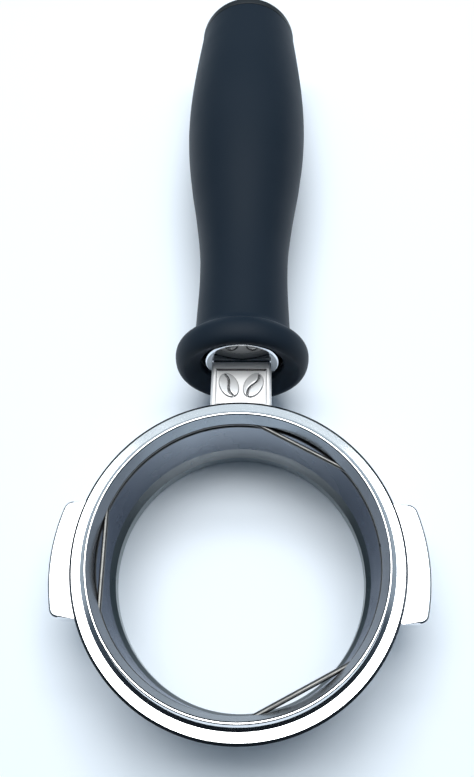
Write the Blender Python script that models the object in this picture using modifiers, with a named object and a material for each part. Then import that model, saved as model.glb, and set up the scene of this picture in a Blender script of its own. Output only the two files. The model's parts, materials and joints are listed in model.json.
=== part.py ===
"""Bottomless portafilter: a plated ring with a retaining wire, an arm, and a screwed-on handle.

All sizes are in metres. The origin is the centre of the sealing rim's top plane, +Z is the ring's
axis, pointing up, and +Y runs from the ring to the end of the handle. The handle's own pieces are
turned about a line parallel to Y, and their lengths are measured from the handle's datum plane.
"""

import math

import bmesh
import bpy
from mathutils import Vector

CLEARANCE = 0.0003
WELD = 0.00001
WIRE_WELD = 0.000001
BEVEL_SEGMENTS = 2

# Ring
RIM_RADIUS = 0.0314
LIP_OUTER_RADIUS = 0.03197
LIP_HEIGHT = 0.002
FLANGE_TOP_RADIUS = 0.03315
FLANGE_RADIUS = 0.0355
FLANGE_EDGE = 0.0004
FLANGE_BOTTOM = -0.0135
BODY_RADIUS = 0.0338
BODY_FOOT_RADIUS = 0.0336
FOOT_CHAMFER = 0.0012
RING_BOTTOM = -0.027
BORE_RADIUS = 0.0304
OUTLET_RADIUS = 0.0299
LEDGE_TOP = -0.019
LEDGE_BOTTOM = -0.0236
OUTLET_CHAMFER = 0.0005
RING_STEPS = 72

# Locking lugs
LUG_RADIUS = 0.0416
LUG_HALF_WIDTH = 0.0128
LUG_CORNER = 0.0022
LUG_TOP = -0.0075
LUG_BOTTOM = -0.0130
LUG_ROOT_RADIUS = 0.0345
LUG_CORNER_STEPS = 4
LUG_EDGE_STEPS = 8

# Basket spring and its groove
WIRE_RADIUS = 0.0006
SPRING_RADIUS = 0.03105
SPRING_HEIGHT = -0.0043
GROOVE_HALF_HEIGHT = WIRE_RADIUS + CLEARANCE
GROOVE_RADIUS = SPRING_RADIUS + WIRE_RADIUS + CLEARANCE
GROOVE_CORNER = 0.0002
SPRING_STEP = 5.0
SPRING_CORNER_ROOM = 2.0
FLAT_ANGLES = (61.0, 182.0, 297.0)
FLAT_HALF_SPAN = 21.7
WIRE_GAP_ANGLE = 5.0
WIRE_GAP = 1.6
WIRE_RESOLUTION = 2

# Arm
ARM_HALF_WIDTH = 0.0074
ARM_TOP = -0.0049
ARM_BOTTOM = -0.0134
ARM_BEVEL = 0.0006
ARM_RING_OVERLAP = 0.004
ARM_SHOULDER_OVERLAP = 0.003
PANEL_HALF_WIDTH = 0.0063
PANEL_DEPTH = 0.00035
PANEL_START = FLANGE_RADIUS + 0.001
PANEL_END = 0.0464
CUTTER_MARGIN = 0.003
SHOULDER_RADIUS = 0.00965
SHOULDER_EDGE = 0.0007

# Handle axis and datum plane
AXIS_HEIGHT = -0.0086
DATUM = 0.048
SHOULDER_NOSE = 0.0
SHOULDER_FRONT = 0.0015
SHOULDER_BACK = 0.008
STUD_RADIUS = 0.006
STUD_ROOT = 0.0033
STUD_TIP = 0.044
STUD_CHAMFER = 0.0008
WASHER_THICKNESS = 0.0015
WASHER_RADIUS = 0.0094

# Handle
GRIP_STATIONS = (
    (0.0137, 0.01222),
    (0.0260, 0.01195),
    (0.0360, 0.01232),
    (0.0480, 0.01380),
    (0.0605, 0.01580),
    (0.0735, 0.01738),
    (0.0870, 0.01804),
    (0.1005, 0.01765),
    (0.1145, 0.01665),
    (0.1270, 0.01552),
)
GRIP_SKIN = 0.002
COLLAR_CENTRE = 0.0029
COLLAR_CENTRE_RADIUS = 0.0147
COLLAR_FRONT_DEPTH = 0.0042
COLLAR_BACK_DEPTH = 0.0029
COLLAR_RISE = 0.00225
COLLAR_ANGLES = range(20, 181, 20)
COLLAR_LIP = 0.0006
DISH_FRONT = 0.0012
NECK_FILLET_START = 0.0098
NECK_FILLET_RADIUS = 0.0126
NECK_FILLET_TOP = 0.0069
NECK_FILLET_TOP_RADIUS = 0.0140
RECESS_RADIUS = 0.0103
RECESS_BOTTOM = SHOULDER_BACK + WASHER_THICKNESS + 2 * CLEARANCE
CORE_FRONT = 0.003
CORE_NOSE_RADIUS = 0.013
CORE_NOSE_END = 0.006
CORE_NECK = 0.0125
INSERT_RADIUS = 0.0079
INSERT_END = 0.034
STUD_WELL_RADIUS = 0.0066
STUD_WELL_END = 0.048
REAR_WELL_RADIUS = 0.009
REAR_WELL_START = 0.07
GRIP_END = 0.127
CAP_EDGE = 0.0018
CAP_SIDE = 0.0022
CAP_END = 0.0062
CAP_STEM_RADIUS = REAR_WELL_RADIUS - CLEARANCE
CAP_STEM_START = 0.112
CAP_EDGE_ANGLE = 75
CAP_EDGE_STEPS = 4
CAP_DOME_ANGLES = (0, 25, 50, 70)
GRIP_LENGTH_STEPS = 22
CORE_LENGTH_STEPS = 14
HANDLE_STEPS = 40
CORE_STEPS = 32

CHROME = ((0.80, 0.82, 0.84), 0.12, 1.0)
SPRING_STEEL = ((0.62, 0.62, 0.60), 0.25, 1.0)
ZINC_STEEL = ((0.66, 0.66, 0.64), 0.30, 1.0)
BRASS = ((0.78, 0.60, 0.28), 0.28, 1.0)
NYLON = ((0.03, 0.03, 0.032), 0.50, 0.0)
SOFT_TOUCH = ((0.025, 0.032, 0.040), 0.55, 0.0)
CAP_PLASTIC = ((0.020, 0.022, 0.024), 0.40, 0.0)
FIBRE = ((0.30, 0.10, 0.07), 0.80, 0.0)


def clear_scene():
    for old in list(bpy.data.objects):
        bpy.data.objects.remove(old, do_unlink=True)


def make_collection(name, hidden=False):
    group = bpy.data.collections.new(name)
    group.hide_render = hidden
    bpy.context.scene.collection.children.link(group)
    return group


def make_material(name, finish):
    colour, roughness, metallic = finish
    material = bpy.data.materials.new(name)
    material.use_nodes = True
    shader = material.node_tree.nodes["Principled BSDF"]
    shader.inputs["Base Color"].default_value = (*colour, 1.0)
    shader.inputs["Roughness"].default_value = roughness
    shader.inputs["Metallic"].default_value = metallic
    return material


def add_object(name, data, group, finish=None):
    obj = bpy.data.objects.new(name, data)
    group.objects.link(obj)
    if finish:
        data.materials.append(make_material(name + "_finish", finish))
    return obj


def profile_mesh(name, points, closed):
    """A line of points in the XZ plane, radius first, for a Screw modifier."""
    mesh = bpy.data.meshes.new(name)
    edges = [(i, i + 1) for i in range(len(points) - 1)]
    if closed:
        edges.append((len(points) - 1, 0))
    mesh.from_pydata([(radius, 0.0, height) for radius, height in points], edges, [])
    return mesh


def turned(name, points, group, finish=None, closed=True, steps=HANDLE_STEPS):
    """A solid of revolution about the object's Z axis."""
    obj = add_object(name, profile_mesh(name, points, closed), group, finish)
    screw = obj.modifiers.new("turn", "SCREW")
    screw.steps = steps
    screw.render_steps = steps
    screw.use_merge_vertices = True
    screw.merge_threshold = WELD
    screw.use_smooth_shade = True
    return obj


def onto_handle_axis(obj, parent):
    """The object's Z axis becomes the handle's axis, with its zero at the datum plane."""
    obj.parent = parent
    obj.rotation_euler = (math.radians(-90), 0, 0)
    return obj


def as_helper(obj):
    obj.hide_render = True
    obj.display_type = "WIRE"
    return obj


def boolean(obj, name, operation, other):
    cut = obj.modifiers.new(name, "BOOLEAN")
    cut.operation = operation
    cut.solver = "EXACT"
    cut.object = other
    return cut


def mesh_from_curve(curve_object, name, group):
    """The curve's evaluated surface as a closed mesh object in the same place."""
    bpy.context.view_layer.update()
    graph = bpy.context.evaluated_depsgraph_get()
    mesh = bpy.data.meshes.new_from_object(curve_object.evaluated_get(graph))
    welded = bmesh.new()
    welded.from_mesh(mesh)
    bmesh.ops.remove_doubles(welded, verts=welded.verts, dist=WIRE_WELD)
    bmesh.ops.recalc_face_normals(welded, faces=welded.faces)
    welded.to_mesh(mesh)
    welded.free()
    result = add_object(name, mesh, group)
    result.matrix_world = curve_object.matrix_world
    bpy.data.objects.remove(curve_object, do_unlink=True)
    return result


def box_mesh(name, low, high, bevel=0.0):
    """A box between two corners, with all its edges rounded when bevel is given."""
    low = Vector(low)
    high = Vector(high)
    mesh = bpy.data.meshes.new(name)
    shape = bmesh.new()
    bmesh.ops.create_cube(shape, size=1.0)
    bmesh.ops.scale(shape, vec=high - low, verts=shape.verts)
    bmesh.ops.translate(shape, vec=(high + low) / 2, verts=shape.verts)
    if bevel:
        bmesh.ops.bevel(shape, geom=list(shape.edges), offset=bevel, segments=BEVEL_SEGMENTS,
                        affect="EDGES", profile=0.5)
    shape.to_mesh(mesh)
    shape.free()
    return mesh


def arc(centre, radius, start, end, count):
    """Points on a circle from one angle to another, in degrees, both ends included."""
    angles = [math.radians(start + (end - start) * i / count) for i in range(count + 1)]
    return [
        (centre[0] + radius * math.cos(angle), centre[1] + radius * math.sin(angle))
        for angle in angles
    ]


def grip_radius(length):
    """The grip's outer radius: a smooth curve through its stations."""
    stations = GRIP_STATIONS
    if length <= stations[0][0]:
        return stations[0][1]
    if length >= stations[-1][0]:
        return stations[-1][1]
    slopes = []
    for i in range(len(stations)):
        before = stations[max(i - 1, 0)]
        after = stations[min(i + 1, len(stations) - 1)]
        slopes.append((after[1] - before[1]) / (after[0] - before[0]))
    i = max(k for k in range(len(stations) - 1) if stations[k][0] <= length)
    span = stations[i + 1][0] - stations[i][0]
    t = (length - stations[i][0]) / span
    return (
        (2 * t**3 - 3 * t**2 + 1) * stations[i][1]
        + (t**3 - 2 * t**2 + t) * span * slopes[i]
        + (3 * t**2 - 2 * t**3) * stations[i + 1][1]
        + (t**3 - t**2) * span * slopes[i + 1]
    )


def grip_line(start, end, count, inset):
    """Points along the grip from one length to another, a given depth below its surface."""
    lengths = [start + (end - start) * i / count for i in range(count + 1)]
    return [(grip_radius(length) - inset, length) for length in lengths]


def ring_profile():
    groove_top = SPRING_HEIGHT + GROOVE_HALF_HEIGHT
    groove_bottom = SPRING_HEIGHT - GROOVE_HALF_HEIGHT
    return [
        (RIM_RADIUS, 0.0),
        (LIP_OUTER_RADIUS, 0.0),
        (FLANGE_TOP_RADIUS, -LIP_HEIGHT),
        (FLANGE_RADIUS - FLANGE_EDGE, -LIP_HEIGHT),
        (FLANGE_RADIUS, -LIP_HEIGHT - FLANGE_EDGE),
        (FLANGE_RADIUS, FLANGE_BOTTOM + FLANGE_EDGE),
        (FLANGE_RADIUS - FLANGE_EDGE, FLANGE_BOTTOM),
        (BODY_RADIUS, FLANGE_BOTTOM),
        (BODY_FOOT_RADIUS, RING_BOTTOM + FOOT_CHAMFER),
        (BODY_FOOT_RADIUS - FOOT_CHAMFER, RING_BOTTOM),
        (OUTLET_RADIUS + OUTLET_CHAMFER, RING_BOTTOM),
        (OUTLET_RADIUS, RING_BOTTOM + OUTLET_CHAMFER),
        (OUTLET_RADIUS, LEDGE_BOTTOM),
        (BORE_RADIUS, LEDGE_TOP),
        (BORE_RADIUS, groove_bottom),
        (GROOVE_RADIUS - GROOVE_CORNER, groove_bottom),
        (GROOVE_RADIUS, groove_bottom + GROOVE_CORNER),
        (GROOVE_RADIUS, groove_top - GROOVE_CORNER),
        (GROOVE_RADIUS - GROOVE_CORNER, groove_top),
        (BORE_RADIUS, groove_top),
    ]


def lug_outline():
    """One lug seen from above: two straight sides, a round outer edge and two rounded corners."""
    corner_x = math.sqrt((LUG_RADIUS - LUG_CORNER) ** 2 - (LUG_HALF_WIDTH - LUG_CORNER) ** 2)
    corner_y = LUG_HALF_WIDTH - LUG_CORNER
    edge_angle = math.degrees(math.atan2(corner_y, corner_x))
    root_x = math.sqrt(LUG_ROOT_RADIUS**2 - LUG_HALF_WIDTH**2)
    outline = [(root_x, -LUG_HALF_WIDTH)]
    outline += arc((corner_x, -corner_y), LUG_CORNER, -90, -edge_angle, LUG_CORNER_STEPS)
    outline += arc((0, 0), LUG_RADIUS, -edge_angle, edge_angle, LUG_EDGE_STEPS)[1:-1]
    outline += arc((corner_x, corner_y), LUG_CORNER, edge_angle, 90, LUG_CORNER_STEPS)
    outline.append((root_x, LUG_HALF_WIDTH))
    return outline


def make_lug(name, side, helpers):
    """A closed solid of one lug, on the +X side for 1 and on the -X side for -1."""
    curve = bpy.data.curves.new(name, "CURVE")
    curve.dimensions = "2D"
    curve.fill_mode = "BOTH"
    curve.extrude = (LUG_TOP - LUG_BOTTOM) / 2
    outline = lug_outline()
    spline = curve.splines.new("POLY")
    spline.points.add(len(outline) - 1)
    for point, (x, y) in zip(spline.points, outline):
        point.co = (side * x, side * y, 0, 1)
    spline.use_cyclic_u = True
    flat = add_object(name, curve, helpers)
    flat.location.z = (LUG_TOP + LUG_BOTTOM) / 2
    return as_helper(mesh_from_curve(flat, name, helpers))


def make_ring(parts, helpers):
    ring = turned("ring_body", ring_profile(), parts, CHROME, steps=RING_STEPS)
    for name, side in (("lug_right", 1), ("lug_left", -1)):
        boolean(ring, name, "UNION", make_lug(name, side, helpers))
    return ring


def spring_points():
    """The wire's centre line: a ring with straight chords, open at the gap."""
    start = WIRE_GAP_ANGLE + WIRE_GAP / 2
    end = start + 360.0 - WIRE_GAP
    room = FLAT_HALF_SPAN + SPRING_CORNER_ROOM
    angles = [start]
    angle = start + SPRING_STEP
    while angle < end - SPRING_STEP / 2:
        angles.append(angle)
        angle += SPRING_STEP
    angles.append(end)
    angles = [a for a in angles if all(abs(a - middle) > room for middle in FLAT_ANGLES)]
    for middle in FLAT_ANGLES:
        angles += [middle - FLAT_HALF_SPAN, middle + FLAT_HALF_SPAN]
    angles.sort()
    return [
        (
            SPRING_RADIUS * math.cos(math.radians(a)),
            SPRING_RADIUS * math.sin(math.radians(a)),
            0.0,
        )
        for a in angles
    ]


def make_spring(parts):
    curve = bpy.data.curves.new("basket_spring", "CURVE")
    curve.dimensions = "3D"
    curve.bevel_depth = WIRE_RADIUS
    curve.bevel_resolution = WIRE_RESOLUTION
    curve.use_fill_caps = True
    points = spring_points()
    spline = curve.splines.new("POLY")
    spline.points.add(len(points) - 1)
    for point, place in zip(spline.points, points):
        point.co = (*place, 1)
    spring = add_object("basket_spring", curve, parts, SPRING_STEEL)
    spring.location = (0, 0, SPRING_HEIGHT)
    return spring


def make_arm(parts, helpers, axis):
    """The flat bar brazed to the ring, with its round shoulder and the stud's hole."""
    bar_mesh = box_mesh(
        "neck_arm",
        (-ARM_HALF_WIDTH, BODY_RADIUS - ARM_RING_OVERLAP, ARM_BOTTOM),
        (ARM_HALF_WIDTH, DATUM + ARM_SHOULDER_OVERLAP, ARM_TOP),
        ARM_BEVEL,
    )
    arm = add_object("neck_arm", bar_mesh, parts, CHROME)

    ring_edge = FLANGE_RADIUS + CLEARANCE
    space_bottom = RING_BOTTOM - CUTTER_MARGIN
    ring_space = turned(
        "ring_space",
        [(0.0, CUTTER_MARGIN), (ring_edge, CUTTER_MARGIN), (ring_edge, space_bottom), (0.0, space_bottom)],
        helpers,
        closed=False,
        steps=RING_STEPS,
    )
    boolean(arm, "clear_of_ring", "DIFFERENCE", as_helper(ring_space))

    panel = add_object(
        "panel_space",
        box_mesh(
            "panel_space",
            (-PANEL_HALF_WIDTH, PANEL_START, ARM_TOP - PANEL_DEPTH),
            (PANEL_HALF_WIDTH, PANEL_END, ARM_TOP + CUTTER_MARGIN),
        ),
        helpers,
    )
    boolean(arm, "panel", "DIFFERENCE", as_helper(panel))

    hole_radius = STUD_RADIUS + CLEARANCE
    hole_end = STUD_ROOT - CLEARANCE
    shoulder = turned(
        "arm_shoulder",
        [
            (0.0, hole_end),
            (hole_radius, hole_end),
            (hole_radius, SHOULDER_BACK),
            (SHOULDER_RADIUS - SHOULDER_EDGE, SHOULDER_BACK),
            (SHOULDER_RADIUS, SHOULDER_BACK - SHOULDER_EDGE),
            (SHOULDER_RADIUS, SHOULDER_FRONT + SHOULDER_EDGE),
            (SHOULDER_RADIUS - SHOULDER_EDGE, SHOULDER_FRONT),
            (0.0, SHOULDER_NOSE),
        ],
        helpers,
        closed=False,
    )
    onto_handle_axis(as_helper(shoulder), axis)
    hole_space = turned(
        "stud_space",
        [(0.0, SHOULDER_BACK), (hole_radius, SHOULDER_BACK), (hole_radius, hole_end), (0.0, hole_end)],
        helpers,
        closed=False,
    )
    onto_handle_axis(as_helper(hole_space), axis)
    boolean(arm, "stud_hole", "DIFFERENCE", hole_space)
    boolean(arm, "shoulder", "UNION", shoulder)
    return arm


def make_stud(parts, axis):
    stud = turned(
        "threaded_stud",
        [
            (0.0, STUD_TIP),
            (STUD_RADIUS - STUD_CHAMFER, STUD_TIP),
            (STUD_RADIUS, STUD_TIP - STUD_CHAMFER),
            (STUD_RADIUS, STUD_ROOT + STUD_CHAMFER),
            (STUD_RADIUS - STUD_CHAMFER, STUD_ROOT),
            (0.0, STUD_ROOT),
        ],
        parts,
        ZINC_STEEL,
        closed=False,
        steps=CORE_STEPS,
    )
    return onto_handle_axis(stud, axis)


def tube(name, inner, outer, start, end, parts, finish):
    """A plain ring or sleeve between two lengths."""
    return turned(
        name,
        [(inner, end), (outer, end), (outer, start), (inner, start)],
        parts,
        finish,
        steps=CORE_STEPS,
    )


def make_core(parts, axis):
    """The rigid inner handle: nose cup, insert bore, stud well, and a hollow rear end."""
    outer = grip_line(GRIP_END, CORE_NECK, CORE_LENGTH_STEPS, GRIP_SKIN + CLEARANCE)
    points = [
        (0.0, REAR_WELL_START),
        (REAR_WELL_RADIUS, REAR_WELL_START),
        (REAR_WELL_RADIUS, GRIP_END),
        *outer,
        (CORE_NOSE_RADIUS, CORE_NOSE_END),
        (CORE_NOSE_RADIUS, CORE_FRONT),
        (RECESS_RADIUS, CORE_FRONT),
        (RECESS_RADIUS, RECESS_BOTTOM),
        (INSERT_RADIUS + CLEARANCE, RECESS_BOTTOM),
        (INSERT_RADIUS + CLEARANCE, INSERT_END + CLEARANCE),
        (STUD_WELL_RADIUS, INSERT_END + CLEARANCE),
        (STUD_WELL_RADIUS, STUD_WELL_END),
        (0.0, STUD_WELL_END),
    ]
    core = turned("handle_core", points, parts, NYLON, closed=False, steps=CORE_STEPS)
    return onto_handle_axis(core, axis)


def make_grip(parts, axis):
    """The soft skin over the core, with the round collar around the arm's shoulder."""
    outer = grip_line(GRIP_END, GRIP_STATIONS[0][0], GRIP_LENGTH_STEPS, 0.0)
    fillet = [
        (NECK_FILLET_RADIUS, NECK_FILLET_START),
        (NECK_FILLET_TOP_RADIUS, NECK_FILLET_TOP),
    ]
    collar = []
    for degrees in COLLAR_ANGLES:
        turn = math.radians(degrees)
        depth = COLLAR_BACK_DEPTH if degrees < 90 else COLLAR_FRONT_DEPTH
        radius = COLLAR_CENTRE_RADIUS + COLLAR_RISE * math.sin(turn)
        collar.append((radius, COLLAR_CENTRE + depth * math.cos(turn)))
    front = COLLAR_CENTRE - COLLAR_FRONT_DEPTH
    dish = [
        (COLLAR_CENTRE_RADIUS - COLLAR_LIP, front + COLLAR_LIP / 4),
        (RECESS_RADIUS + CLEARANCE, DISH_FRONT),
    ]
    core_gap = CORE_FRONT - CLEARANCE
    nose = CORE_NOSE_RADIUS + CLEARANCE
    inner = [
        (RECESS_RADIUS + CLEARANCE, core_gap),
        (nose, core_gap),
        (nose, CORE_NOSE_END + CLEARANCE),
        *grip_line(CORE_NECK + CLEARANCE, GRIP_END, CORE_LENGTH_STEPS, GRIP_SKIN),
    ]
    grip = turned("grip_sleeve", outer + fillet + collar + dish + inner, parts, SOFT_TOUCH)
    return onto_handle_axis(grip, axis)


def make_cap(parts, axis):
    """The plug that closes the handle's rear end."""
    base = GRIP_END + CLEARANCE
    radius = GRIP_STATIONS[-1][1]
    side = GRIP_END + CAP_SIDE
    edge = arc((radius - CAP_EDGE, side), CAP_EDGE, CAP_EDGE_ANGLE, 0, CAP_EDGE_STEPS)
    dome_radius, dome_base = edge[0]
    dome_rise = GRIP_END + CAP_END - dome_base
    dome = []
    for degrees in CAP_DOME_ANGLES:
        turn = math.radians(degrees)
        dome.append((dome_radius * math.sin(turn), dome_base + dome_rise * math.cos(turn)))
    points = [
        *dome,
        *edge,
        (radius, base),
        (CAP_STEM_RADIUS, base),
        (CAP_STEM_RADIUS, CAP_STEM_START),
        (0.0, CAP_STEM_START),
    ]
    cap = turned("end_cap", points, parts, CAP_PLASTIC, closed=False)
    return onto_handle_axis(cap, axis)


def main():
    clear_scene()
    parts = make_collection("portafilter")
    helpers = make_collection("cutters", hidden=True)

    axis = bpy.data.objects.new("handle_axis", None)
    axis.location = (0, DATUM, AXIS_HEIGHT)
    parts.objects.link(axis)

    make_ring(parts, helpers)
    make_spring(parts)
    make_arm(parts, helpers, axis)
    make_stud(parts, axis)
    washer_start = SHOULDER_BACK + CLEARANCE
    washer = tube(
        "seat_washer",
        STUD_RADIUS + CLEARANCE,
        WASHER_RADIUS,
        washer_start,
        washer_start + WASHER_THICKNESS,
        parts,
        FIBRE,
    )
    onto_handle_axis(washer, axis)
    insert = tube(
        "threaded_insert",
        STUD_RADIUS + CLEARANCE,
        INSERT_RADIUS,
        RECESS_BOTTOM,
        INSERT_END,
        parts,
        BRASS,
    )
    onto_handle_axis(insert, axis)
    make_core(parts, axis)
    make_grip(parts, axis)
    make_cap(parts, axis)


main()
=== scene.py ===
import json
import math

import bmesh
import bpy
from mathutils import Matrix, Vector


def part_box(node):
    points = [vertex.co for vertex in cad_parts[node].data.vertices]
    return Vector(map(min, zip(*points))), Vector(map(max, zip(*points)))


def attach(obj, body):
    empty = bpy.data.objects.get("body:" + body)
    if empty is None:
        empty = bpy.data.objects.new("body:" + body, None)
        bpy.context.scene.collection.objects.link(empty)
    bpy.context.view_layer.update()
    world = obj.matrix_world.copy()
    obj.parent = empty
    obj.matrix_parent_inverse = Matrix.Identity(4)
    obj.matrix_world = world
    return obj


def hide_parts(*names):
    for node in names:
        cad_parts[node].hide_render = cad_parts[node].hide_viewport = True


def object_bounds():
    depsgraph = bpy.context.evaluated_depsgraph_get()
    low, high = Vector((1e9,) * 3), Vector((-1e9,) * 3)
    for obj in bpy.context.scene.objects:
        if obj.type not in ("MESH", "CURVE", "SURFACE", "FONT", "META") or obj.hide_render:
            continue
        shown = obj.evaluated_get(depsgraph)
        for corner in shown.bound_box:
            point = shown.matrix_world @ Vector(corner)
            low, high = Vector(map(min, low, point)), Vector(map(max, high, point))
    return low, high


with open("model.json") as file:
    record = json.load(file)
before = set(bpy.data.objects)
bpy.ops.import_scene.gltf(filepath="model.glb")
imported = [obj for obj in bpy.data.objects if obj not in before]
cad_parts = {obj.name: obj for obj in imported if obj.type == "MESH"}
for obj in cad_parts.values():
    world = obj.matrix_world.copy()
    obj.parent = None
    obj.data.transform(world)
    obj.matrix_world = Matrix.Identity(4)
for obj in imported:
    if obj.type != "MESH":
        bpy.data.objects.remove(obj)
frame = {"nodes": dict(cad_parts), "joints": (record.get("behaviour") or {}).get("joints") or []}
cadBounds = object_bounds()
mm = 0.001

ringLow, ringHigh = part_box("ring_body")
joints = {joint["name"]: joint for joint in frame["joints"]}
handlePoint = Vector(joints["handle_unscrew"]["pos_m"])    # on the stud's axis, in the datum plane
springHeight = joints["spring_turn"]["pos_m"][2]
floorHeight = cadBounds[0][2]      # the ring stands on the table
print("frame loaded:", len(frame["nodes"]), "nodes")


broadFace = {"times": 8, "degrees": 4}    # how much larger it is, and the least turn between them
sameCorner = 0.004                        # corners closer than this many millimetres are one


def meetsBroadFace(edge):
    # a broad flat face keeps its own shading where a narrow rounding starts
    areas = sorted(face.calc_area() for face in edge.link_faces)
    turns = edge.calc_face_angle(0) > math.radians(broadFace["degrees"])
    return turns and len(areas) == 2 and areas[1] > broadFace["times"] * areas[0]


def finishMesh(name, shape, sharpAngle=32.0, hard=()):
    bmesh.ops.recalc_face_normals(shape, faces=shape.faces)
    for face in shape.faces:
        face.smooth = True
    for edge in shape.edges:
        sharp = edge in hard or edge.calc_face_angle(0) > math.radians(sharpAngle)
        edge.smooth = not sharp and not meetsBroadFace(edge)
    mesh = bpy.data.meshes.new(name)
    shape.to_mesh(mesh)
    shape.free()
    piece = bpy.data.objects.new(name, mesh)
    bpy.context.scene.collection.objects.link(piece)
    return piece


def addLine(shape, points, closed):
    verts = [shape.verts.new(point) for point in points]
    edges = [shape.edges.new(pair) for pair in zip(verts, verts[1:])]
    if closed:
        edges.append(shape.edges.new((verts[-1], verts[0])))
    return verts + edges


def spinFull(shape, geometry, centre, axis, steps):
    bmesh.ops.spin(shape, geom=geometry, cent=centre, axis=axis, dvec=(0, 0, 0),
                   angle=math.tau, steps=steps, use_merge=True)
    bmesh.ops.remove_doubles(shape, verts=shape.verts, dist=1e-7)
    bmesh.ops.recalc_face_normals(shape, faces=shape.faces)


def ringPoint(radius, height):
    return Vector((radius * mm, 0, height * mm))


def handlePlace(length, radius):
    return handlePoint + Vector((radius * mm, length * mm, 0))


def turnRing(shape, outline, steps, closed=True):
    points = [ringPoint(*point) for point in outline]
    spinFull(shape, addLine(shape, points, closed), (0, 0, 0), (0, 0, 1), steps)


def turnHandle(shape, outline, steps, closed=True):
    points = [handlePlace(*point) for point in outline]
    spinFull(shape, addLine(shape, points, closed), handlePoint, (0, 1, 0), steps)


def roundEdges(shape, edges, width, segments=3):
    bmesh.ops.bevel(shape, geom=list(edges), offset=width * mm, offset_type="OFFSET",
                    segments=segments, profile=0.5, affect="EDGES", material=-1,
                    clamp_overlap=True)


def hoop(shape, radius, place, measure):
    # the edges that run round the axis at one corner of a turned outline
    def onCorner(vert):
        r, along = measure(vert.co)
        return abs(r - radius * mm) < sameCorner * mm and abs(along - place * mm) < sameCorner * mm
    return [edge for edge in shape.edges if all(onCorner(vert) for vert in edge.verts)]


def ringMeasure(co):
    return math.hypot(co.x, co.y), co.z


def handleMeasure(co):
    return math.hypot(co.x - handlePoint.x, co.z - handlePoint.z), co.y - handlePoint.y


def arcPoints(centre, radius, start, end, count):
    angles = [math.radians(start + (end - start) * i / count) for i in range(count + 1)]
    return [(centre[0] + radius * math.cos(a), centre[1] + radius * math.sin(a)) for a in angles]


def newMaterial(name):
    material = bpy.data.materials.new(name)
    material.use_nodes = True
    tree = material.node_tree
    return material, tree, tree.nodes["Principled BSDF"]


def link(tree, source, target):
    tree.links.new(source, target)


def objectNoise(tree, scale, detail=2.0, roughness=0.5):
    coordinates = tree.nodes.new("ShaderNodeTexCoord")
    noise = tree.nodes.new("ShaderNodeTexNoise")
    noise.inputs["Scale"].default_value = scale
    noise.inputs["Detail"].default_value = detail
    noise.inputs["Roughness"].default_value = roughness
    link(tree, coordinates.outputs["Object"], noise.inputs["Vector"])
    return noise.outputs["Fac"]


def remap(tree, source, fromLow, fromHigh, low, high):
    node = tree.nodes.new("ShaderNodeMapRange")
    node.inputs["From Min"].default_value = fromLow
    node.inputs["From Max"].default_value = fromHigh
    node.inputs["To Min"].default_value = low
    node.inputs["To Max"].default_value = high
    link(tree, source, node.inputs["Value"])
    return node.outputs["Result"]


def mixColours(tree, factor, first, second):
    node = tree.nodes.new("ShaderNodeMix")
    node.data_type = "RGBA"
    node.inputs["A"].default_value = (*first, 1)
    node.inputs["B"].default_value = (*second, 1)
    link(tree, factor, node.inputs["Factor"])
    return node.outputs["Result"]


def uneven(tree, cloud, low, high):
    # a noise mostly stays between 0.3 and 0.7, which is spread over the range asked for
    return remap(tree, cloud, 0.3, 0.7, low, high)


def addBump(tree, shader, height, distance):
    bump = tree.nodes.new("ShaderNodeBump")
    bump.inputs["Distance"].default_value = distance
    bump.inputs["Strength"].default_value = 1.0
    link(tree, height, bump.inputs["Height"])
    link(tree, bump.outputs["Normal"], shader.inputs["Normal"])


# where the painted shade in the bore falls, in millimetres, and how far the near side is dimmed
boreLight = {"dim": 0.58, "near": -20, "far": 24, "asideStart": 12, "asideEnd": 28}


def borePaintedShade(tree, colour, shade):
    # painted shade standing in for the bore's reflections: brightest on the far side of the bore,
    # dimmer on the near side and darkest towards the lugs
    coordinates = tree.nodes.new("ShaderNodeTexCoord")
    split = tree.nodes.new("ShaderNodeSeparateXYZ")
    link(tree, coordinates.outputs["Object"], split.inputs["Vector"])
    away = tree.nodes.new("ShaderNodeMath")
    away.operation = "ABSOLUTE"
    link(tree, split.outputs["X"], away.inputs[0])
    near = tuple(boreLight["dim"] * part for part in colour)
    farther = remap(tree, split.outputs["Y"], boreLight["near"] * mm, boreLight["far"] * mm, 0, 1)
    outward = remap(tree, away.outputs["Value"], boreLight["asideStart"] * mm,
                    boreLight["asideEnd"] * mm, 0, 1)
    lengthwise = mixColours(tree, farther, near, colour)
    aside = mixColours(tree, outward, near, shade)
    link(tree, lengthwise, aside.node.inputs["A"])
    return aside


def platedMetal(name, colour, shade, polish, grain, edge=None, metallic=1.0):
    # plating: a cloudy tint, a little uneven polish and a very shallow ripple. Inside the ring,
    # edge dims what shows at a slant, and painted shade by place replaces the cloudy tint
    material, tree, shader = newMaterial(name)
    shader.inputs["Metallic"].default_value = metallic
    cloud = objectNoise(tree, 90.0, detail=3.0)
    tint = mixColours(tree, remap(tree, cloud, 0.35, 0.7, 0, 1), colour, shade)
    if edge:
        # inside the ring the colour is painted shade, set by the face's place
        tint = borePaintedShade(tree, colour, shade)
        shader.inputs["Specular Tint"].default_value = (*edge, 1)
    link(tree, tint, shader.inputs["Base Color"])
    link(tree, uneven(tree, cloud, *polish), shader.inputs["Roughness"])
    addBump(tree, shader, objectNoise(tree, grain[0]), grain[1])
    return material


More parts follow.
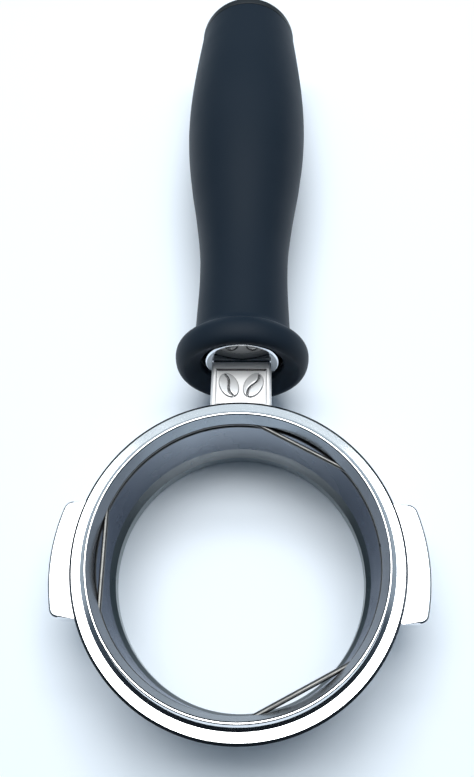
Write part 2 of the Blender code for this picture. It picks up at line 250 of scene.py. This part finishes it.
# colour, second colour, roughness from and to, bump scale and depth, and for some the slant tint
# and the metallic value
finishes = {
    "polished": ((0.90, 0.91, 0.93), (0.84, 0.86, 0.89), (0.03, 0.08), (420.0, 0.000004)),
    "satin": ((0.90, 0.92, 0.94), (0.86, 0.89, 0.92), (0.10, 0.16), (1500.0, 0.000003)),
    # throat, bore, ledge and outlet: darker plating inside the ring with painted shade on it; their
    # second colour is the painted shade towards the lugs
    "throat": ((0.32, 0.36, 0.40), (0.16, 0.175, 0.20), (0.20, 0.32), (900.0, 0.000004),
               (1, 1, 1)),
    "bore": ((0.50, 0.54, 0.60), (0.16, 0.175, 0.205), (0.20, 0.32), (900.0, 0.000004),
             (0.45, 0.48, 0.54)),
    "ledge": ((0.62, 0.64, 0.65), (0.15, 0.165, 0.172), (0.25, 0.35), (900.0, 0.000004),
              (0.22, 0.24, 0.25)),
    "outlet": ((0.62, 0.66, 0.68), (0.40, 0.44, 0.45), (0.20, 0.30), (900.0, 0.000004),
               (0.8, 0.8, 0.8)),
    # groove: near-black plating, painted shade in the spring's groove
    "groove": ((0.10, 0.105, 0.11), (0.06, 0.065, 0.07), (0.30, 0.40), (900.0, 0.000004)),
    # dome: darker plating on the shoulder's front face, painted shade standing in for its dark
    # reflection
    "dome": ((0.35, 0.36, 0.37), (0.30, 0.31, 0.32), (0.05, 0.10), (500.0, 0.000008)),
    "cast": ((0.95, 0.95, 0.96), (0.90, 0.91, 0.92), (0.40, 0.50), (1200.0, 0.000006), None, 0.5),
    # crease: near-black plating on the beans' steep sides and the panel's far wall, painted shade
    # outlining them
    "crease": ((0.13, 0.13, 0.135), (0.10, 0.10, 0.105), (0.25, 0.32), (1200.0, 0.000006)),
    "raised": ((0.92, 0.92, 0.93), (0.86, 0.87, 0.88), (0.18, 0.24), (1200.0, 0.000006), None, 0.4),
}


wireFinish = {"colour": (0.26, 0.26, 0.25), "worn": (0.18, 0.18, 0.178), "roughness": (0.34, 0.44)}


def drawnWire():
    material, tree, shader = newMaterial("drawnWire")
    shader.inputs["Metallic"].default_value = 1.0
    cloud = objectNoise(tree, 300.0, detail=3.0)
    tint = mixColours(tree, cloud, wireFinish["colour"], wireFinish["worn"])
    link(tree, tint, shader.inputs["Base Color"])
    link(tree, uneven(tree, cloud, *wireFinish["roughness"]), shader.inputs["Roughness"])
    return material


skin = {"colour": (0.0078, 0.0155, 0.0265), "handled": (0.0100, 0.0180, 0.0295),
        "roughness": (0.52, 0.62), "specular": 0.16, "sheen": 0.04, "sheenRoughness": 0.4,
        "sheenTint": (0.80, 0.90, 1.0, 1), "grain": 3800.0, "grainDepth": 0.00001}


def softTouchSkin():
    material, tree, shader = newMaterial("softTouchSkin")
    smudge = objectNoise(tree, 38.0, detail=4.0, roughness=0.6)
    tint = mixColours(tree, uneven(tree, smudge, 0, 1), skin["colour"], skin["handled"])
    link(tree, tint, shader.inputs["Base Color"])
    link(tree, uneven(tree, smudge, *skin["roughness"]), shader.inputs["Roughness"])
    shader.inputs["Specular IOR Level"].default_value = skin["specular"]
    shader.inputs["Sheen Weight"].default_value = skin["sheen"]
    shader.inputs["Sheen Roughness"].default_value = skin["sheenRoughness"]
    shader.inputs["Sheen Tint"].default_value = skin["sheenTint"]
    addBump(tree, shader, objectNoise(tree, skin["grain"]), skin["grainDepth"])
    return material


def mouldedPlastic(name, colour, roughness):
    material, tree, shader = newMaterial(name)
    cloud = objectNoise(tree, 120.0, detail=3.0)
    darker = tuple(0.8 * part for part in colour)
    link(tree, mixColours(tree, cloud, colour, darker), shader.inputs["Base Color"])
    link(tree, uneven(tree, cloud, roughness, roughness + 0.1), shader.inputs["Roughness"])
    addBump(tree, shader, objectNoise(tree, 2600.0), 0.000008)
    return material


def machinedMetal(name, colour, roughness):
    material, tree, shader = newMaterial(name)
    shader.inputs["Metallic"].default_value = 1.0
    cloud = objectNoise(tree, 200.0, detail=3.0)
    darker = tuple(0.82 * part for part in colour)
    link(tree, mixColours(tree, cloud, colour, darker), shader.inputs["Base Color"])
    link(tree, uneven(tree, cloud, roughness, roughness + 0.12), shader.inputs["Roughness"])
    return material


ring = {
    "steps": 240,
    "rim": 31.40,             # inner edge of the lip's flat top
    "lipOuter": 31.97,
    "lipHeight": 2.0,
    "lipDip": 0.05,           # the lip's top falls inwards by this much
    "lipWide": 0.21,
    "lipDeep": 0.11,
    "flangeTop": 33.15,
    "flangeBottom": -13.5,
    "edgeWide": 0.58,         # the bright chamfer round the flange is flatter than 45 degrees
    "edgeDeep": 0.33,
    "bodyRadius": 33.8,
    "footRadius": 33.6,
    "bore": 30.40,
    "outlet": 29.90,
    "ledgeTop": -19.0,
    "ledgeBottom": -23.6,
    "grooveHalf": 0.9,
    "grooveRadius": 31.95,
    "throatTop": -0.16,       # below the rim's rounding the throat begins
}


lug = {"top": -7.5, "bottom": -13.0, "halfWidth": 12.8, "corner": 2.2, "sideStart": 34.4,
       "halfCount": 14, "cornerCount": 6, "edge": 0.6, "edgeCount": 4}


def lugPlan():
    # one lug seen from above, from root to root: side, corner, round end, corner, side
    reach = ringHigh.x / mm
    cornerY = lug["halfWidth"] - lug["corner"]
    cornerX = math.sqrt((reach - lug["corner"]) ** 2 - cornerY ** 2)
    turn = math.degrees(math.atan2(cornerY, cornerX))
    plan = [(lug["sideStart"], -lug["halfWidth"])]
    plan += arcPoints((cornerX, -cornerY), lug["corner"], -90, -turn,
                      lug["cornerCount"])
    plan += arcPoints((0, 0), reach, -turn, turn, lug["halfCount"])[1:-1]
    plan += arcPoints((cornerX, cornerY), lug["corner"], turn, 90, lug["cornerCount"])
    plan.append((lug["sideStart"], lug["halfWidth"]))
    return plan


def pullLug(shape, flange, side):
    # the lug is drawn out of the flange's wall, then given its plan and its rounded edges
    plan = lugPlan()
    halfAngle = lug["halfCount"] * math.tau / ring["steps"] + 0.001
    wall = []
    for face in shape.faces:
        centre = face.calc_center_median()
        level = lug["bottom"] * mm < centre.z < lug["top"] * mm
        onWall = centre.xy.length > (flange - 0.05) * mm and side * centre.x > 0
        if level and onWall and abs(math.atan2(centre.y, side * centre.x)) < halfAngle:
            wall.append(face)
    made = bmesh.ops.extrude_face_region(shape, geom=wall)["geom"]
    bmesh.ops.delete(shape, geom=wall, context="FACES_ONLY")
    outer = {part for part in made if isinstance(part, bmesh.types.BMVert)}
    for vert in outer:
        place = math.atan2(vert.co.y, side * vert.co.x) / math.tau * ring["steps"]
        x, y = plan[round(place) + lug["halfCount"]]
        vert.co.x, vert.co.y = side * x * mm, y * mm
    rims = []
    for edge in shape.edges:
        first, second = edge.verts
        level = abs(first.co.z - second.co.z) < 1e-6
        sideEdge = (first in outer) != (second in outer) and all(
            abs(vert.co.y) > (lug["halfWidth"] - 0.2) * mm for vert in edge.verts)
        if level and (sideEdge or (first in outer and second in outer)):
            rims.append(edge)
    bmesh.ops.bevel(shape, geom=rims, offset=lug["edge"] * mm, offset_type="OFFSET",
                    segments=lug["edgeCount"], profile=0.5, affect="EDGES", material=-1,
                    clamp_overlap=False)


ringFinishes = ("polished", "satin", "bore", "ledge", "throat", "outlet", "groove")
clear = 0.02                  # how far past a corner a face's middle counts as round it


def ringFinish(radius, height, flange, groove):
    # the finish of a face from the place of its middle
    inBand = abs(height - groove) < ring["grooveHalf"] + 0.1 and radius < ring["grooveRadius"] + clear
    underRim = radius < ring["rim"] - clear and height < ring["throatTop"]
    onFlange = ring["flangeTop"] - clear < radius < flange - ring["edgeWide"]
    if ring["ledgeBottom"] < height < ring["ledgeTop"] and radius < ring["bore"]:
        return "ledge"
    # the spring's groove gets the near-black plating: painted shade in the recess
    if inBand and radius > ring["bore"] - clear:
        return "groove"
    if height < ring["ledgeBottom"] and radius < ring["outlet"] + 0.5:
        return "outlet"
    if radius < ring["bore"] + 0.05 or underRim:
        return "throat" if height > groove else "bore"
    if height < -1.5 and onFlange:
        return "satin"
    return "polished"


def makeRingBody():
    flange = ringLow.y / -mm
    bottom = ringLow.z / mm
    groove = springHeight / mm
    coneFoot = groove + ring["grooveHalf"]
    outline = [
        (ring["rim"], -ring["lipDip"]), (ring["lipOuter"] - ring["lipWide"], 0),
        (ring["lipOuter"], -ring["lipDeep"]), (ring["flangeTop"], -ring["lipHeight"]),
        (flange - ring["edgeWide"], -ring["lipHeight"]),
        (flange, -ring["lipHeight"] - ring["edgeDeep"]),
        (flange, lug["top"]), (flange, lug["bottom"]),
        (flange, ring["flangeBottom"]), (ring["bodyRadius"], ring["flangeBottom"]),
        (ring["footRadius"], bottom), (ring["outlet"], bottom),
        (ring["outlet"], ring["ledgeBottom"]), (ring["bore"], ring["ledgeTop"]),
        (ring["bore"], groove - ring["grooveHalf"]),
        (ring["grooveRadius"], groove - ring["grooveHalf"]),
        (ring["grooveRadius"], coneFoot), (ring["bore"], coneFoot),
    ]
    shape = bmesh.new()
    turnRing(shape, outline, ring["steps"])
    for side in (1, -1):
        pullLug(shape, flange, side)
    for radius, height, width, segments in (
        (ring["rim"], -ring["lipDip"], 0.18, 1),
        (flange, ring["flangeBottom"], 0.30, 3),
        (ring["footRadius"], bottom, 1.2, 3), (ring["outlet"], bottom, 0.4, 3),
        (ring["bore"], coneFoot, 0.10, 2), (ring["bore"], groove - ring["grooveHalf"], 0.10, 2),
    ):
        roundEdges(shape, hoop(shape, radius, height, ringMeasure), width, segments)
    for face in shape.faces:
        radius, height = ringMeasure(face.calc_center_median())
        name = ringFinish(radius / mm, height / mm, flange, groove)
        face.material_index = ringFinishes.index(name)
    hard = set(hoop(shape, ring["bore"], ring["ledgeTop"], ringMeasure))
    hard.update(hoop(shape, ring["outlet"], ring["ledgeBottom"], ringMeasure))
    piece = finishMesh("ringBody", shape, 20, hard)
    for name in ringFinishes:
        piece.data.materials.append(plating[name])
    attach(piece, "ring")
    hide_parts("ring_body")


spring = {"wire": 0.54, "radius": 31.05, "flats": (61.0, 182.0, 297.0), "halfSpan": 21.7,
          "gapAngle": 5.0, "gap": 1.6, "cornerBlend": 1.2, "count": 360}


def springRadius(angle):
    # the wire's distance from the axis: the groove's circle, or the nearer of its three chords
    radius = spring["radius"]
    for middle in spring["flats"]:
        away = math.radians((angle - middle + 180) % 360 - 180)
        half = math.radians(spring["halfSpan"])
        if abs(away) < half:
            radius = spring["radius"] * math.cos(half) / math.cos(away)
    return radius


def makeSpring():
    curve = bpy.data.curves.new("basketSpring", "CURVE")
    curve.dimensions = "3D"
    curve.bevel_depth = spring["wire"] * mm
    curve.bevel_resolution = 5
    curve.use_fill_caps = True
    start = spring["gapAngle"] + spring["gap"] / 2
    line = curve.splines.new("POLY")
    line.points.add(spring["count"])
    for i in range(spring["count"] + 1):
        angle = start + (360 - spring["gap"]) * i / spring["count"]
        blend = spring["cornerBlend"]
        radius = sum(springRadius(angle + blend * k / 2) for k in (-2, -1, 0, 1, 2)) / 5 * mm
        turn = math.radians(angle)
        line.points[i].co = (radius * math.cos(turn), radius * math.sin(turn), springHeight, 1)
    wire = bpy.data.objects.new("springCurve", curve)
    bpy.context.scene.collection.objects.link(wire)
    bpy.context.view_layer.update()
    graph = bpy.context.evaluated_depsgraph_get()
    mesh = bpy.data.meshes.new_from_object(wire.evaluated_get(graph))
    bpy.data.objects.remove(wire)
    shape = bmesh.new()
    shape.from_mesh(mesh)
    bpy.data.meshes.remove(mesh)
    bmesh.ops.remove_doubles(shape, verts=shape.verts, dist=1e-7)
    piece = finishMesh("basketSpring", shape, 50)
    piece.data.materials.append(drawnWire())
    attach(piece, "spring")
    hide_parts("basket_spring")


arm = {"halfWidth": 7.4, "top": -4.9, "bottom": -13.4, "start": 34.9, "end": 50.0, "edge": 0.7,
       "panelDepth": 0.35, "panelStart": 36.0, "panelEnd": 46.4, "panelRim": 0.4, "panelWall": 0.3,
       "panelEdge": 0.10,
       "seam": (47.95, 48.2, 48.45), "seamDepth": 0.4,
       "shoulderRadius": 9.65, "shoulderFront": 1.5, "shoulderEdge": 0.7, "shoulderBack": 8.0,
       "domeRadius": 8.7, "domeDepth": 1.6, "studHole": 6.3, "studSeat": 3.0}


def panelFaces(shape):
    # the bar's upward faces between the panel's two ends
    return [face for face in shape.faces if face.normal.z > 0.99
            and arm["panelStart"] * mm < face.calc_center_median().y < arm["panelEnd"] * mm]


def panelFloor(shape):
    middle = [face for face in panelFaces(shape) if abs(face.calc_center_median().x) < 1 * mm]
    return max(middle, key=lambda face: face.calc_area())


def makeArmBar():
    shape = bmesh.new()
    bmesh.ops.create_cube(shape, size=1.0)
    size = Vector((2 * arm["halfWidth"], arm["end"] - arm["start"], arm["top"] - arm["bottom"])) * mm
    middle = Vector((0, arm["end"] + arm["start"], arm["top"] + arm["bottom"])) * mm / 2
    bmesh.ops.scale(shape, vec=size, verts=shape.verts)
    bmesh.ops.translate(shape, vec=middle, verts=shape.verts)
    along = [edge for edge in shape.edges if abs(edge.verts[0].co.y - edge.verts[1].co.y) > 0.01]
    roundEdges(shape, along, arm["edge"], 4)
    for place in (arm["panelStart"], arm["panelEnd"], *arm["seam"]):
        bmesh.ops.bisect_plane(shape, geom=shape.verts[:] + shape.edges[:] + shape.faces[:],
                               plane_co=(0, place * mm, 0), plane_no=(0, 1, 0), dist=1e-7)
    bmesh.ops.inset_region(shape, faces=panelFaces(shape), thickness=arm["panelRim"] * mm,
                           use_even_offset=True)
    floor = panelFloor(shape)
    rim = list(floor.edges)
    bmesh.ops.inset_region(shape, faces=[floor], thickness=arm["panelWall"] * mm,
                           use_even_offset=True)
    floor = panelFloor(shape)
    bmesh.ops.translate(shape, vec=(0, 0, -arm["panelDepth"] * mm), verts=floor.verts[:])
    roundEdges(shape, list(floor.edges) + rim, arm["panelEdge"], 2)
    seamStart, seamMiddle, seamEnd = (place * mm for place in arm["seam"])
    for vert in shape.verts:
        if abs(vert.co.y - seamMiddle) < 0.01 * mm and vert.co.z > (arm["top"] - 1.0) * mm:
            vert.co.z -= arm["seamDepth"] * mm
    bmesh.ops.recalc_face_normals(shape, faces=shape.faces)
    for face in shape.faces:
        centre = face.calc_center_median()
        high = centre.z > (arm["top"] - arm["panelDepth"] - arm["panelEdge"]) * mm
        if seamStart < centre.y < seamEnd:
            face.material_index = 1
        # the panel's far wall gets the near-black crease plating: painted shade
        elif high and face.normal.y < -0.2 and abs(centre.y - seamStart) < 3 * mm:
            face.material_index = 2      # the panel's far wall
    piece = finishMesh("armBar", shape, 40)
    for name in ("cast", "polished", "crease"):
        piece.data.materials.append(plating[name])
    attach(piece, "ring")
    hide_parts("neck_arm")


def makeArmShoulder():
    edge = arm["shoulderEdge"]
    rim = arcPoints((arm["shoulderFront"] + edge, arm["shoulderRadius"] - edge), edge, 180, 90, 6)
    dome = [(0.0, 0), (0.22, 2.0), (0.60, 4.0), (1.0, 6.2), (1.36, 8.2)]
    outline = dome + rim
    outline += [(arm["shoulderBack"], arm["shoulderRadius"]), (arm["shoulderBack"], arm["studHole"]),
                (arm["studSeat"], arm["studHole"]), (arm["studSeat"], 0)]
    shape = bmesh.new()
    turnHandle(shape, outline, 160, closed=False)
    for radius, width in ((arm["shoulderRadius"], 0.5), (arm["studHole"], 0.3)):
        roundEdges(shape, hoop(shape, radius, arm["shoulderBack"], handleMeasure), width, 4)
    # the dome's face gets the darker dome plating: painted shade standing in for its dark reflection
    for face in shape.faces:
        radius, length = handleMeasure(face.calc_center_median())
        if radius < arm["domeRadius"] * mm and length < arm["domeDepth"] * mm:
            face.material_index = 1
    piece = finishMesh("armShoulder", shape)
    for name in ("polished", "dome"):
        piece.data.materials.append(plating[name])
    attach(piece, "ring")
    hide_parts("neck_arm")


bean = {"halfWidth": 2.3, "halfLength": 3.5, "rise": 0.55, "tilt": 24.0, "apart": 3.0,
        "along": 41.6, "crease": 0.5, "creaseWidth": 0.20, "wave": 0.55, "shoulder": 0.5,
        "crown": 0.15, "foot": 0.3, "steep": 0.66}


def makeBeanRelief():
    # two coffee beans raised from the panel's floor, each with its wavy crease
    shape = bmesh.new()
    floor = (arm["top"] - arm["panelDepth"]) * mm
    for hand in (1, -1):
        made = bmesh.ops.create_uvsphere(shape, u_segments=72, v_segments=36, radius=1.0)["verts"]
        for vert in made:
            x, y, z = vert.co
            creaseAt = bean["wave"] / bean["halfWidth"] * math.sin(math.pi * y)
            depth = math.exp(-((x - creaseAt) * bean["halfWidth"] / bean["creaseWidth"]) ** 2)
            swell = min(1.0, max(z, 0) / bean["shoulder"])
            body = swell * (2 - swell) * (1 - bean["crown"])
            rise = bean["rise"] * (body + bean["crown"] * max(z, 0) + bean["foot"] * min(z, 0))
            if z > 0:
                rise -= bean["crease"] * depth * swell
            vert.co = Vector((x * bean["halfWidth"], y * bean["halfLength"], rise)) * mm
        bmesh.ops.rotate(shape, verts=made, cent=(0, 0, 0),
                         matrix=Matrix.Rotation(math.radians(-hand * bean["tilt"]), 3, "Z"))
        bmesh.ops.translate(shape, verts=made,
                            vec=(hand * bean["apart"] * mm, bean["along"] * mm, floor))
    bmesh.ops.recalc_face_normals(shape, faces=shape.faces)
    # steep sides and the crease get the near-black crease plating: painted shade outlining the beans
    for face in shape.faces:
        face.material_index = int(abs(face.normal.z) < bean["steep"])
    piece = finishMesh("beanRelief", shape, 60)
    for name in ("raised", "crease"):
        piece.data.materials.append(plating[name])
    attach(piece, "ring")


stud = {"radius": 6.0, "root": 5.05, "pitch": 1.75, "start": 3.3, "end": 44.0, "steps": 64,
        "flank": (0.12, 0.46, 0.58, 0.92)}     # where the flanks start and end, in pitches


def makeStud():
    shape = bmesh.new()
    pitch = stud["pitch"]
    rise, crest, fall, foot = (part * pitch for part in stud["flank"])
    tooth = [(0, stud["root"]), (rise, stud["root"]), (crest, stud["radius"]),
             (fall, stud["radius"]), (foot, stud["root"]), (pitch, stud["root"])]
    turns = int((stud["end"] - stud["start"]) / pitch) + 2
    points = [handlePlace(stud["start"] - pitch + length, radius) for length, radius in tooth]
    line = addLine(shape, points, False)
    bmesh.ops.spin(shape, geom=line, cent=handlePoint, axis=(0, 1, 0),
                   dvec=(0, pitch * mm / stud["steps"], 0), angle=math.tau * turns,
                   steps=stud["steps"] * turns, use_merge=False)
    bmesh.ops.remove_doubles(shape, verts=shape.verts, dist=2e-6)
    for place, outward in ((stud["start"], -1), (stud["end"], 1)):
        cut = bmesh.ops.bisect_plane(
            shape, geom=shape.verts[:] + shape.edges[:] + shape.faces[:], dist=1e-8,
            plane_co=handlePoint + Vector((0, place * mm, 0)), plane_no=(0, outward, 0),
            clear_outer=True)["geom_cut"]
        loop = [part for part in cut if isinstance(part, bmesh.types.BMEdge)]
        bmesh.ops.contextual_create(shape, geom=loop)
    piece = finishMesh("threadedStud", shape, 25)
    piece.data.materials.append(machinedMetal("zincThread", (0.66, 0.66, 0.64), 0.26))
    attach(piece, "ring")
    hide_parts("threaded_stud")


washer = {"inner": 6.35, "outer": 9.4, "start": 8.3, "end": 9.8, "edge": 0.15}
insert = {"inner": 6.3, "outer": 7.9, "start": 10.1, "end": 34.0, "edge": 0.2}


def makeTube(name, size, material, body, node):
    corners = [(size["end"], size["inner"]), (size["end"], size["outer"]),
               (size["start"], size["outer"]), (size["start"], size["inner"])]
    shape = bmesh.new()
    turnHandle(shape, corners, 128)
    for length, radius in corners:
        roundEdges(shape, hoop(shape, radius, length, handleMeasure), size["edge"], 2)
    piece = finishMesh(name, shape)
    piece.data.materials.append(material)
    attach(piece, body)
    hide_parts(node)


grip = {
    "stations": ((13.7, 12.22), (26.0, 11.95), (36.0, 12.32), (48.0, 13.80), (60.5, 15.80),
                 (73.5, 17.38), (87.0, 18.01), (100.5, 17.65), (114.5, 16.65), (127.0, 15.52)),
    "skin": 2.0, "steps": 192, "outsideCount": 70, "insideCount": 30,
    "collarCentre": (2.9, 14.7), "collarFront": 4.2, "collarBack": 2.9, "collarRise": 2.25,
    "fillet": ((9.4, 15.6), 3.2), "dish": ((-1.27, 14.4), (-1.12, 14.1), (0.95, 10.85), (1.2, 10.6)),
    "recess": 10.6, "nose": 13.3, "noseEnd": 6.3, "neck": 12.8, "coreFront": 2.7,
}


def gripRadius(length):
    # a smooth curve through the stations, with the mean slope of its neighbours at each
    stations = grip["stations"]
    length = min(max(length, stations[0][0]), stations[-1][0])
    slopes = []
    for i in range(len(stations)):
        before, after = stations[max(i - 1, 0)], stations[min(i + 1, len(stations) - 1)]
        slopes.append((after[1] - before[1]) / (after[0] - before[0]))
    i = max(k for k in range(len(stations) - 1) if stations[k][0] <= length)
    span = stations[i + 1][0] - stations[i][0]
    t = (length - stations[i][0]) / span
    return ((2 * t ** 3 - 3 * t ** 2 + 1) * stations[i][1]
            + (t ** 3 - 2 * t ** 2 + t) * span * slopes[i]
            + (3 * t ** 2 - 2 * t ** 3) * stations[i + 1][1]
            + (t ** 3 - t ** 2) * span * slopes[i + 1])


def gripLine(start, end, count, inset):
    lengths = [start + (end - start) * i / count for i in range(count + 1)]
    return [(length, gripRadius(length) - inset) for length in lengths]


def makeGrip():
    rear = grip["stations"][-1][0]
    outline = gripLine(rear, grip["stations"][0][0], grip["outsideCount"], 0)
    outline += arcPoints(*grip["fillet"], -90, -165, 8)
    length, radius = grip["collarCentre"]
    for degrees in range(20, 181, 8):
        turn = math.radians(degrees)
        depth = grip["collarBack"] if degrees < 90 else grip["collarFront"]
        outline.append((length + depth * math.cos(turn),
                        radius + grip["collarRise"] * math.sin(turn)))
    outline += list(grip["dish"])
    outline += [(grip["coreFront"], grip["recess"]), (grip["coreFront"], grip["nose"]),
                (grip["noseEnd"], grip["nose"])]
    outline += gripLine(grip["neck"], rear, grip["insideCount"], grip["skin"])
    shape = bmesh.new()
    turnHandle(shape, outline, grip["steps"])
    piece = finishMesh("gripSleeve", shape, 40)
    piece.data.materials.append(softTouchSkin())
    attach(piece, "handle")
    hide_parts("grip_sleeve")


core = {"recess": 10.3, "recessBottom": 10.1, "front": 3.0, "nose": 13.0, "noseEnd": 6.0,
        "neck": 12.5, "insert": 8.2, "insertEnd": 34.3, "well": 6.6, "wellEnd": 48.0,
        "rearWell": 9.0, "rearStart": 70.0, "gap": 0.3}


def makeCore():
    rear = grip["stations"][-1][0]
    outline = [(core["rearStart"], 0), (core["rearStart"], core["rearWell"]),
               (rear, core["rearWell"])]
    outline += gripLine(rear, core["neck"], grip["insideCount"], grip["skin"] + core["gap"])
    outline += [(core["noseEnd"], core["nose"]), (core["front"], core["nose"]),
                (core["front"], core["recess"]), (core["recessBottom"], core["recess"]),
                (core["recessBottom"], core["insert"]), (core["insertEnd"], core["insert"]),
                (core["insertEnd"], core["well"]), (core["wellEnd"], core["well"]),
                (core["wellEnd"], 0)]
    shape = bmesh.new()
    turnHandle(shape, outline, 96, closed=False)
    piece = finishMesh("handleCore", shape)
    piece.data.materials.append(mouldedPlastic("coreNylon", (0.03, 0.03, 0.032), 0.45))
    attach(piece, "handle")
    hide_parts("handle_core")


cap = {"base": 127.3, "side": 129.2, "edge": 1.8, "rise": 2.25, "domeTurn": 80, "domeCount": 16,
       "stem": 8.7, "stemStart": 112.0}


def makeCap():
    radius = grip["stations"][-1][1]
    edge = arcPoints((cap["side"], radius - cap["edge"]), cap["edge"], 15, 90, 8)
    domeRadius = edge[0][1]
    angles = [math.radians(cap["domeTurn"] * k / cap["domeCount"]) for k in range(cap["domeCount"] + 1)]
    dome = [(edge[0][0] + cap["rise"] * math.cos(a), domeRadius * math.sin(a)) for a in angles]
    outline = dome + edge + [(cap["base"], radius), (cap["base"], cap["stem"]),
                             (cap["stemStart"], cap["stem"]), (cap["stemStart"], 0)]
    shape = bmesh.new()
    turnHandle(shape, outline, 160, closed=False)
    roundEdges(shape, hoop(shape, radius, cap["base"], handleMeasure), 0.2, 2)
    piece = finishMesh("endCap", shape)
    piece.data.materials.append(mouldedPlastic("capPlastic", (0.013, 0.018, 0.023), 0.40))
    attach(piece, "handle")
    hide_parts("end_cap")


view = {"place": (4.98, -31.29, 133.17), "tilt": 27.49, "pan": -2.19, "roll": -0.20, "lens": 29.65}


def makeCamera():
    tilt, pan, roll = (math.radians(view[key]) for key in ("tilt", "pan", "roll"))
    data = bpy.data.cameras.new("camera")
    data.lens = view["lens"]
    data.clip_start = 0.005
    camera = bpy.data.objects.new("camera", data)
    aim = Matrix.Rotation(tilt, 4, "X") @ Matrix.Rotation(-pan, 4, "Y")
    turn = aim @ Matrix.Rotation(-roll, 4, "Z")
    camera.matrix_world = Matrix.Translation(Vector(view["place"]) * mm) @ turn
    bpy.context.scene.collection.objects.link(camera)
    bpy.context.scene.camera = camera


table = {"reach": 3.0, "below": 0.00005, "colour": (0.82, 0.90, 0.99, 1), "roughness": 0.55}


def makeFloor():
    shape = bmesh.new()
    bmesh.ops.create_grid(shape, x_segments=1, y_segments=1, size=table["reach"])
    bmesh.ops.translate(shape, verts=shape.verts, vec=(0, 0, floorHeight - table["below"]))
    floor = finishMesh("floor", shape)
    material, tree, shader = newMaterial("paleTable")
    shader.inputs["Base Color"].default_value = table["colour"]
    shader.inputs["Roughness"].default_value = table["roughness"]
    floor.data.materials.append(material)


# the plating mirrors one panel, and two others farther back light the table and the grip
lamps = {
    "mirrorPanel": {"place": (-0.01, 0.105, 0.70), "target": (-0.01, 0.105, 0), "size": (0.66, 0.33),
                    "power": 3.2, "colour": (1.0, 0.985, 0.96), "mirrored": True},
    "topPanel": {"place": (0.0, 0.22, 0.72), "target": (0, 0.02, 0), "size": (0.80, 0.30),
                 "power": 4.6, "colour": (1.0, 0.985, 0.96), "mirrored": False},
    "rearPanel": {"place": (0.0, 0.55, 0.70), "target": (0, 0.02, 0), "size": (0.50, 0.16),
                  "power": 2.6, "colour": (1.0, 0.99, 0.97), "mirrored": False},
}


def makeLamp(name, lamp):
    data = bpy.data.lights.new(name, "AREA")
    data.shape = "RECTANGLE"
    data.size, data.size_y = lamp["size"]
    data.energy = lamp["power"]
    data.color = lamp["colour"]
    panel = bpy.data.objects.new(name, data)
    panel.location = lamp["place"]
    toTarget = Vector(lamp["target"]) - Vector(lamp["place"])
    panel.rotation_euler = toTarget.to_track_quat("-Z", "Y").to_euler()
    panel.visible_glossy = lamp["mirrored"]
    panel.visible_diffuse = not lamp["mirrored"]
    bpy.context.scene.collection.objects.link(panel)


def rampOf(tree, source, stops):
    ramp = tree.nodes.new("ShaderNodeValToRGB")
    elements = ramp.color_ramp.elements
    for i, (position, colour) in enumerate(stops):
        element = elements[i] if i < 2 else elements.new(position)
        element.position = position
        element.color = (*colour, 1)
    link(tree, source, ramp.inputs["Fac"])
    return ramp.outputs["Color"]


sky = {
    "height": ((0.0, (0.03, 0.035, 0.04)), (1.0, (0.84, 0.94, 1.0)), (0.25, (0.055, 0.068, 0.08)),
               (0.50, (0.31, 0.37, 0.43)), (0.75, (0.62, 0.72, 0.79)), (0.92, (0.78, 0.88, 0.95))),
    "front": ((0.0, (0.025, 0.03, 0.035)), (1.0, (1.0, 1.0, 1.0)), (0.25, (0.055, 0.065, 0.075)),
              (0.42, (0.22, 0.25, 0.28)), (0.495, (1.0, 1.0, 1.0))),
    "strength": 0.85,
}


def makeWorld():
    # bright overhead, grey at the sides and dark on the near side, where the ring's opening faces
    world = bpy.data.worlds.new("studio")
    bpy.context.scene.world = world
    world.use_nodes = True
    tree = world.node_tree
    background = tree.nodes["Background"]
    coordinates = tree.nodes.new("ShaderNodeTexCoord")
    split = tree.nodes.new("ShaderNodeSeparateXYZ")
    link(tree, coordinates.outputs["Generated"], split.inputs["Vector"])
    height = rampOf(tree, split.outputs["Z"], sky["height"])
    front = rampOf(tree, remap(tree, split.outputs["Y"], -1, 1, 0, 1), sky["front"])
    blend = tree.nodes.new("ShaderNodeMix")
    blend.data_type = "RGBA"
    blend.blend_type = "MULTIPLY"
    blend.inputs["Factor"].default_value = 1.0
    link(tree, height, blend.inputs["A"])
    link(tree, front, blend.inputs["B"])
    link(tree, blend.outputs["Result"], background.inputs["Color"])
    background.inputs["Strength"].default_value = sky["strength"]


bpy.context.scene.view_settings.view_transform = "Standard"
makeCamera()
plating = {name: platedMetal(name + "Plate", *values) for name, values in finishes.items()}
makeRingBody()
makeSpring()
print("ring and basket spring made")
makeArmBar()
makeArmShoulder()
makeBeanRelief()
makeStud()
print("arm and stud made")
makeTube("seatWasher", washer, mouldedPlastic("pressedFibre", (0.30, 0.10, 0.07), 0.7),
         "washer", "seat_washer")
makeTube("threadedInsert", insert, machinedMetal("insertBrass", (0.78, 0.60, 0.28), 0.24),
         "handle", "threaded_insert")
makeCore()
makeGrip()
makeCap()
print("handle made")

makeFloor()
makeWorld()
for name, lamp in lamps.items():
    makeLamp(name, lamp)
print("camera, floor and light made")
